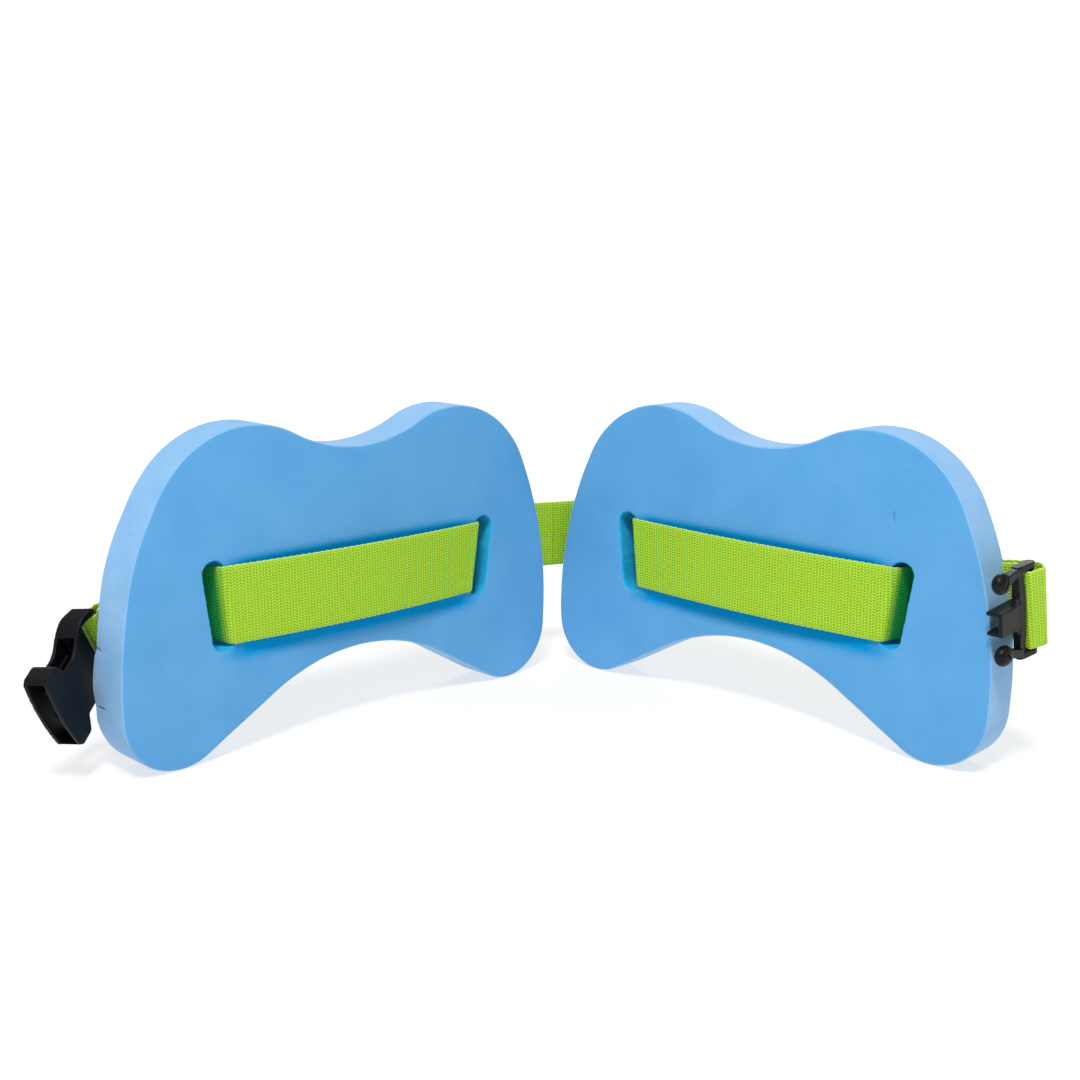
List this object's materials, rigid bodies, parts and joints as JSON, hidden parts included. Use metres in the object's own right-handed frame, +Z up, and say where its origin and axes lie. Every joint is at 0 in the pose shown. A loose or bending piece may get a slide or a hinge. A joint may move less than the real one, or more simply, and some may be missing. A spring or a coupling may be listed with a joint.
{
  "type": "swim belt",
  "caption": "Waist-worn swimming float: bone-shaped foam floats threaded on a flat webbing strap that closes with a side-release buckle.",
  "frame": {"origin": "on the floor under the middle of the whole belt's bounding box", "axes": "+Z up, +X across the whole belt from the socket end towards the plug end, -Y towards the inside of the belt"},
  "size_m": [0.4575, 0.2428, 0.1568],
  "materials": {
    "foam": "closed-cell foam, satin skin",
    "webbing": "woven",
    "thread": "stitched",
    "buckle": "moulded satin"
  },
  "bodies": {
    "left_float": {"left_float": "foam", "webbing_left_front": "webbing", "webbing_left_inner": "webbing", "webbing_left_outer": "webbing"},
    "bridge": {"webbing_bridge": "webbing"},
    "right_float": {"right_float": "foam", "webbing_right_front": "webbing", "webbing_right_inner": "webbing", "webbing_right_outer": "webbing"},
    "left_end": {"webbing_left_end": "webbing", "webbing_left_loop": "webbing", "left_loop_stitching": "thread"},
    "socket": {"buckle_socket": "buckle"},
    "right_end": {"webbing_right_end": "webbing", "webbing_tail_turn": "webbing"},
    "tail": {"webbing_tail": "webbing", "tail_hem": "webbing", "tail_hem_stitching": "thread"},
    "plug": {"buckle_plug": "buckle"},
    "upper_arm": {"plug_upper_arm": "buckle"},
    "lower_arm": {"plug_lower_arm": "buckle"}
  },
  "joints": [
    {"name": "left_bridge_bend", "type": "hinge", "parent": "left_float", "child": "bridge", "pos_m": [-0.02278, 0.10261, 0.0737], "axis": [0, 0, 1], "range_deg": [-8, 70]},
    {"name": "right_bridge_bend", "type": "hinge", "parent": "bridge", "child": "right_float", "pos_m": [0.01898, 0.12069, 0.0737], "axis": [0, 0, 1], "range_deg": [-8, 70]},
    {"name": "left_end_bend", "type": "hinge", "parent": "left_float", "child": "left_end", "pos_m": [-0.19221, -0.07472, 0.0655], "axis": [-0.4273, -0.4482, 0.7852], "range_deg": [-70, 1]},
    {"name": "socket_swing", "type": "hinge", "parent": "left_end", "child": "socket", "pos_m": [-0.20958, -0.07585, 0.0554], "axis": [-0.1988, -0.4467, 0.8723], "range_deg": [-100, 1]},
    {"name": "right_end_bend", "type": "hinge", "parent": "right_float", "child": "right_end", "pos_m": [0.21534, -0.05988, 0.0816], "axis": [-0.1477, -0.094, 0.9846], "range_deg": [0, 28]},
    {"name": "tail_bend", "type": "hinge", "parent": "right_float", "child": "tail", "pos_m": [0.21935, -0.05596, 0.0816], "axis": [-0.1278, 0.1175, 0.9848], "range_deg": [-60, 1]},
    {"name": "plug_swing", "type": "hinge", "parent": "right_end", "child": "plug", "pos_m": [0.21769, -0.06873, 0.08111], "axis": [-0.1477, -0.094, 0.9846], "range_deg": [-1, 30]},
    {"name": "upper_arm_flex", "type": "hinge", "parent": "plug", "child": "upper_arm", "pos_m": [0.20794, -0.0765, 0.0919], "axis": [0.6383, -0.7695, 0.0223], "range_deg": [0, 7], "stiffness_Nm_per_rad": 0.6},
    {"name": "lower_arm_flex", "type": "hinge", "parent": "plug", "child": "lower_arm", "pos_m": [0.21173, -0.0741, 0.0667], "axis": [-0.6383, 0.7695, -0.0223], "range_deg": [0, 7], "stiffness_Nm_per_rad": 0.6}
  ]
}
